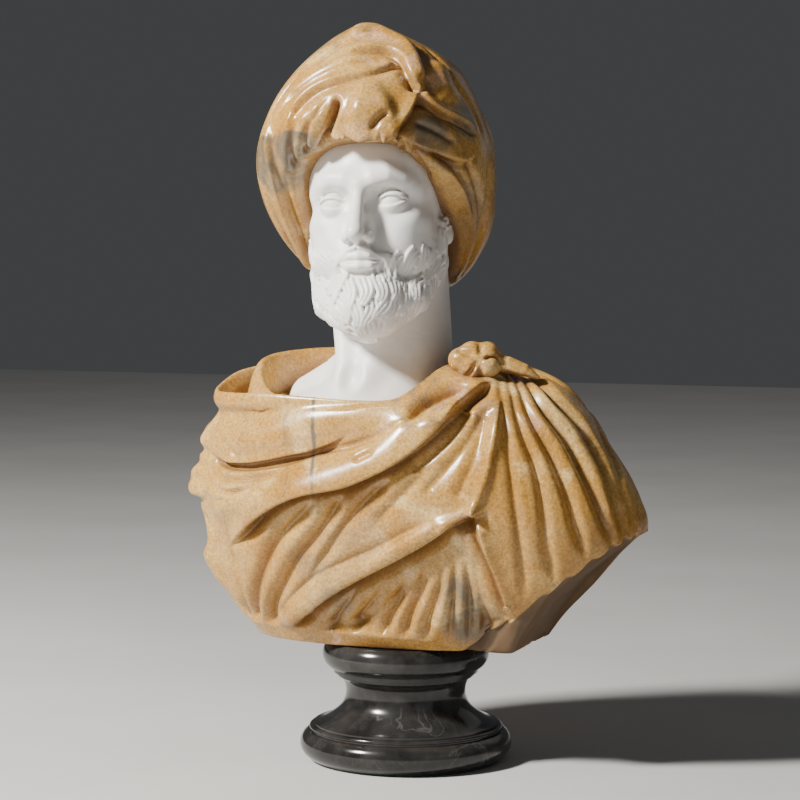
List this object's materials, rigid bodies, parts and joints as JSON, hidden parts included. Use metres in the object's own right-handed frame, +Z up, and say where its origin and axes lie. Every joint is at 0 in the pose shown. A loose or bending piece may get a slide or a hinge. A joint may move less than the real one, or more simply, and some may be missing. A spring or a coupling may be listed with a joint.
{
  "type": "marble bust",
  "caption": "Polychrome marble bust: a white head with a carved turban and draped ochre shoulders, pinned to a turned black marble socle.",
  "frame": {"origin": "centre of the socle's footprint, at the underside of its felt pad", "axes": "+Z up, the bust looks along -Y, +X is the sitter's left"},
  "size_m": [0.5106, 0.2779, 0.8],
  "materials": {
    "ochre_marble": "polished",
    "white_marble": "honed",
    "black_marble": "polished",
    "steel": "satin",
    "brass": "satin",
    "felt": "matte",
    "slip": "matte"
  },
  "bodies": {
    "socle": {"socle_base": "black_marble", "socle_waist": "black_marble", "socle_cap": "black_marble", "felt_pad": "felt", "mounting_rod": "steel", "lower_washer": "steel", "lower_nut": "steel", "upper_washer": "steel", "upper_nut": "steel"},
    "slip": {"slip_disc": "slip"},
    "bust": {"torso": "ochre_marble", "head": "white_marble", "turban": "ochre_marble", "shoulder_knot": "ochre_marble", "rod_sleeve": "brass", "neck_pins": "steel", "turban_pins": "steel", "knot_pin": "steel"}
  },
  "joints": [
    {"name": "bust_turn", "type": "hinge", "parent": "socle", "child": "slip", "pos_m": [0, 0, 0.131], "axis": [0, 0, 1], "continuous": true},
    {"name": "bust_lift", "type": "slide", "parent": "slip", "child": "bust", "axis": [0, 0, 1], "range_m": [0, 0.1]}
  ]
}
